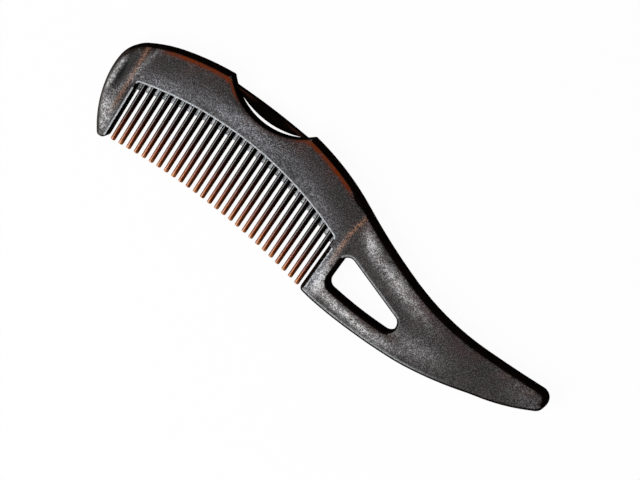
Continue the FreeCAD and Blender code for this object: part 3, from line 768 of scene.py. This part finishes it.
def face_plastic():
    """Matte brown-black front: salt-and-pepper grain, warm by the spine, with a cool painted
    sheen by the arch, painted highlights, black painted shade and pale painted highlights along
    the edges.
    """
    f = Finish("textured_face", specular_ior_level=0.15)
    rim, seam = f.attribute("rim"), f.attribute("seam")
    upper, pale, dark = f.attribute("upper"), f.attribute("pale"), f.attribute("dark")
    grain = f.noise(2.2, 2.0, 0.75)
    cloud = f.noise(0.12, 3.0, 0.55)
    patch = f.noise(0.5, 2.0, 0.6)
    head = f.x.steps(-96.0, -90.0) * f.x.steps(2.0, 9.0, 1.0, 0.0)
    dish = f.spot((-99.5, 7.0), 8.5, 1.6, 86.0)
    sheen_share = painted_sheen(f, head, patch, dish)

    # plain plastic, with a painted soft sheen added to its colour
    near_spine = upper.steps(0.2, 0.6) * rim.steps(2.0, 10.0, 1.0, 0.0)
    plain = f.mix(near_spine, FACE_BROWN, SPINE_BROWN)
    plain = f.mix(cloud.steps(0.35, 0.65), plain, CLOUD_BROWN)
    # painted shade: the nose's dish painted near-black
    plain = f.mix(dish * 0.95, plain, DISH_SHADE_BLACK)
    # painted highlight: the sheen's grey added to the plain colour
    lit = f.add(plain, f.scaled(f.mix(head, SHEEN_GREY, COOL_SHEEN_GREY), sheen_share))

    # the grain's pale flecks, painted glints that are strongest where the sheen is painted, and
    # its dark pits
    fleck_glint_share = (sheen_share * 0.75 + 0.075 * (1.0 - dish)).math("MINIMUM", 1.0)
    base = f.mix(grain.steps(0.51, 0.60) * fleck_glint_share, lit, FLECK_GLINT_WHITE)
    base = f.mix(grain.steps(0.39, 0.48, 1.0, 0.0) * 0.8, base, PIT_BLACK)

    # the edges: brown light, the nose's brown rim, black painted shade, pale painted highlight
    # lines, tan seams
    glow, amber = spine_glow(f, rim, upper, patch)
    base = f.mix(glow, base, amber)
    reach = rim - f.y.steps(10.0, 15.0) * 0.9
    nose_rim = reach.steps(1.15, 1.7, 1.0, 0.0) * f.x.steps(-95.5, -92.0, 1.0, 0.0)
    base = f.mix(nose_rim * 0.9, base, NOSE_BROWN)
    # painted shade along the edges
    base = f.mix(dark, base, EDGE_BLACK)
    # painted highlight lines just inside the black edges
    base = f.mix(pale * grain.steps(0.38, 0.58, 0.3, 1.0), base, EDGE_HIGHLIGHT_PALE)
    # tan along the raised seams, broken by the grain and patches
    seam_tint = seam * grain.steps(0.42, 0.58) * patch.steps(0.3, 0.6, 0.5, 1.0)
    base = f.mix(seam_tint * 0.75, base, SEAM_TAN)

    gloss = (glow + dish * 0.3 + dark + nose_rim).math("MINIMUM", 1.0)
    height = grain * (1.0 - dish * 0.7) * (1.0 - gloss * 0.85)
    return f.set(Base_Color=base, Roughness=(0.46 + cloud * 0.14) * (1.0 - gloss * 0.8),
                 Normal=f.bump(height, 0.15, 1.0))


def wall_plastic():
    """The side walls and the back, painted near-black as painted shade, far darker than the same
    plastic's front, with a land below the arch painted pale as painted light.
    """
    f = Finish("dark_shell", specular_ior_level=0.0)
    grain = f.noise(1.7, 2.0, 0.7)
    cloud = f.noise(0.15, 3.0, 0.55)
    # painted shade: the walls and back far darker than the front
    base = f.mix(cloud.steps(0.35, 0.7), SHADED_WALL_BLACK, SHADED_WALL_BROWN)
    base = f.mix(grain.steps(0.5, 0.8) * 0.25, base, WALL_FLECK)
    land = f.z.steps(LAND_TOP - 0.15, LAND_TOP - 0.05)
    land = land * f.z.steps(LAND_TOP + 0.05, LAND_TOP + 0.2, 1.0, 0.0)
    land = land * over_arch(f).steps(0.0, 0.4, 1.0, 0.0)
    land = land * f.x.steps(OPENING_LEFT, OPENING_LEFT + 0.2)
    land = land * f.x.steps(OPENING_RIGHT - 0.2, OPENING_RIGHT, 1.0, 0.0)
    # painted light: the land between the teeth's roots painted pale grey
    base = f.mix(land, base, f.mix(grain.steps(0.40, 0.62), LIT_LAND_GREY, LIT_LAND_PALE))
    return f.set(Base_Color=base, Roughness=0.55 + cloud * 0.2, Normal=f.bump(grain, 0.05, 0.6))


def tooth_ramp(f, along, stops):
    """Lengthwise streaks, and a colour that follows the tooth from root to tip with them."""
    streak = f.noise(0.9, 3.0, 0.6, (1.0, 0.12, 1.0))
    level = along + (streak - 0.5) * 0.22
    return streak, f.node("ShaderNodeValToRGB", {"stops": stops}, {0: level})


def tooth_front():
    """Polished front of a tooth: black at the root, amber and peach at the tip, painted lighter
    than the flanks as a painted highlight.
    """
    f = Finish("polished_tooth", specular_ior_level=0.35, coat_roughness=0.08)
    along = f.attribute("along")
    streak, base = tooth_ramp(f, along, TOOTH_LIT_FRONT_STOPS)
    return f.set(Base_Color=base, Roughness=0.16 + streak * 0.10,
                 Coat_Weight=(1.0 - along) * (0.2 + streak * 0.4),
                 Normal=f.bump(streak, 0.02, 0.4))


def tooth_side():
    """Sides and back of a tooth, a deeper brown than the front that is painted shade."""
    f = Finish("tooth_flank", specular_ior_level=0.0)
    streak, base = tooth_ramp(f, f.attribute("along"), TOOTH_SHADED_FLANK_STOPS)
    return f.set(Base_Color=base, Roughness=0.5 + streak * 0.15, Normal=f.bump(streak, 0.02, 0.4))


def rest_plastic():
    """Polished near-black brown, a little lighter in a band along the ends."""
    f = Finish("polished_rest", specular_ior_level=0.0)
    streak = f.noise(0.5, 3.0, 0.6, (0.3, 1.0, 1.0))
    base = f.mix(streak.steps(0.3, 0.7), REST_BLACK, REST_BROWN)
    base = f.mix(f.attribute("band") * 0.8, base, REST_BAND)
    return f.set(Base_Color=base, Roughness=0.12 + streak * 0.08,
                 Normal=f.bump(streak, 0.03, 0.25))


# ------------------------------------------------------------------ stage
FLOOR_HALF, FLOOR_LEVEL = 4.0, -0.0002
FLOOR_SHARE = 0.96              # how much of the floor is plain white; the rest takes shadow
WORLD_STRENGTH = 0.22
LAMPS = [
    # name, direction from the comb, distance, size, power
    ("key", (-0.34, -0.63, 0.70), 1.2, (0.6, 0.8), 12.5),
    ("left", (-0.64, -0.30, 0.72), 1.2, (0.25, 0.35), 3.2),
    ("fill", (0.5, 0.5, 0.8), 1.4, (0.5, 0.5), 1.2),
]


def build_floor():
    """A wide pale floor that looks white to the camera and keeps a little shadow."""
    mesh = bpy.data.meshes.new("floor")
    corners = [(x * FLOOR_HALF, y * FLOOR_HALF, FLOOR_LEVEL)
               for x, y in ((-1, -1), (1, -1), (1, 1), (-1, 1))]
    mesh.from_pydata(corners, [], [(0, 1, 2, 3)])
    floor = bpy.data.objects.new("floor", mesh)
    bpy.context.scene.collection.objects.link(floor)
    f = Finish("pale_floor", base_color=(0.8, 0.8, 0.8, 1.0), roughness=0.9)
    glow = f.node("ShaderNodeEmission", {}, {"Color": (1.0, 1.0, 1.0)})
    camera, glossy, through = (f.node("ShaderNodeLightPath", output="Is %s Ray" % kind)
                               for kind in ("Camera", "Glossy", "Transmission"))
    seen = camera.math("MAXIMUM", glossy).math("MAXIMUM", through) * FLOOR_SHARE
    surface = f.node("ShaderNodeMixShader", {},
                     {0: seen, 1: Wire(f, f.shader.outputs[0]), 2: glow})
    f.feed(f.tree.nodes["Material Output"].inputs["Surface"], surface)
    mesh.materials.append(f.material)


def build_light():
    """A pale world and soft lamps that look at the comb."""
    world = bpy.data.worlds.new("studio")
    bpy.context.scene.world = world
    world.use_nodes = True
    background = world.node_tree.nodes["Background"]
    background.inputs["Color"].default_value = (1.0, 1.0, 1.0, 1.0)
    background.inputs["Strength"].default_value = WORLD_STRENGTH
    for name, direction, distance, size, power in LAMPS:
        data = bpy.data.lights.new(name, "AREA")
        data.shape, data.energy = "RECTANGLE", power
        data.size, data.size_y = size
        lamp = bpy.data.objects.new(name, data)
        bpy.context.scene.collection.objects.link(lamp)
        away = Vector(direction).normalized()
        lamp.location = away * distance
        lamp.rotation_euler = away.to_track_quat("Z", "Y").to_euler()


def dress(piece, *finishes):
    """Gives a new piece its materials, in the order of its faces' material numbers."""
    for finish in finishes:
        piece.data.materials.append(finish)


place_camera()
face, wall, rest = face_plastic(), wall_plastic(), rest_plastic()
front, flank = tooth_front(), tooth_side()
for cover in build_covers():
    dress(cover, face, wall)
for number in range(TEETH):
    dress(build_tooth(number), front, flank)
dress(build_rest(), rest)
for node, finish in (("rear_shell", wall), ("tooth_clamp_bar", rest)):
    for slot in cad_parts[node].material_slots:
        slot.material = finish
build_floor()
build_light()
bpy.context.scene.view_settings.view_transform = "Standard"
